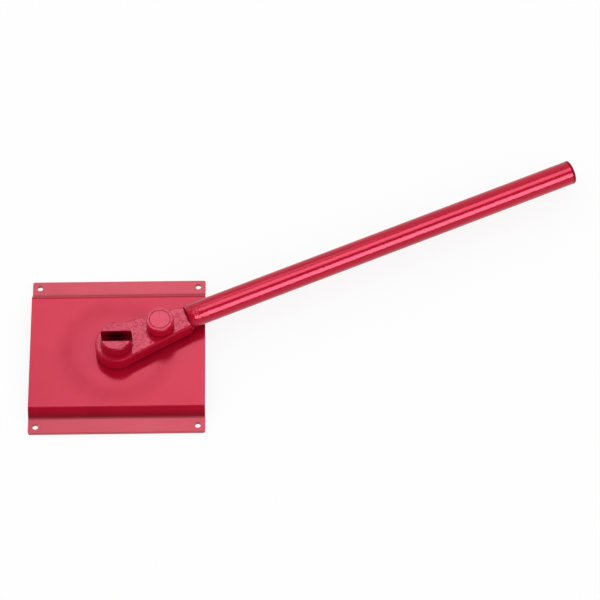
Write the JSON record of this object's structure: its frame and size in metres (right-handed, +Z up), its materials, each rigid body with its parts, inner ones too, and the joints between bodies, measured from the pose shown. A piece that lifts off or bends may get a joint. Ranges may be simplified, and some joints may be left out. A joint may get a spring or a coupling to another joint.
{
  "type": "rebar bender",
  "caption": "Bench hand bender for reinforcing bar: folded base plate, fixed slotted post, and a long tube lever whose roller folds the bar round the post.",
  "frame": {"origin": "on the post's axis, in the plane of the bench that the flanges are bolted to", "axes": "+Z up along the post, +X along the slot towards the side that the handle is on, +Y to the back"},
  "size_m": [0.7627, 0.4091, 0.0588],
  "materials": {
    "red_paint": "gloss crimson paint on steel",
    "red_plastic": "moulded, semi-gloss",
    "zinc_steel": "bright zinc plating",
    "bronze": "turned bearing bronze"
  },
  "bodies": {
    "base": {"base_plate": "red_paint", "bending_post": "red_paint", "thrust_washer": "red_paint", "post_washer": "zinc_steel", "post_nut": "zinc_steel"},
    "lever": {"lever_arm": "red_paint", "pivot_bush": "bronze", "roller_axle": "red_paint", "roller_washer": "red_paint", "handle_tube": "red_paint", "handle_weld": "red_paint", "handle_plug": "red_plastic"},
    "roller": {"bending_roller": "red_paint"}
  },
  "joints": [
    {"name": "lever_swing", "type": "hinge", "parent": "base", "child": "lever", "pos_m": [0, 0, 0.0312], "axis": [0, 0, 1], "continuous": true},
    {"name": "roller_spin", "type": "hinge", "parent": "lever", "child": "roller", "pos_m": [0.05924, 0.02551, 0.0505], "axis": [0, 0, 1], "continuous": true}
  ]
}
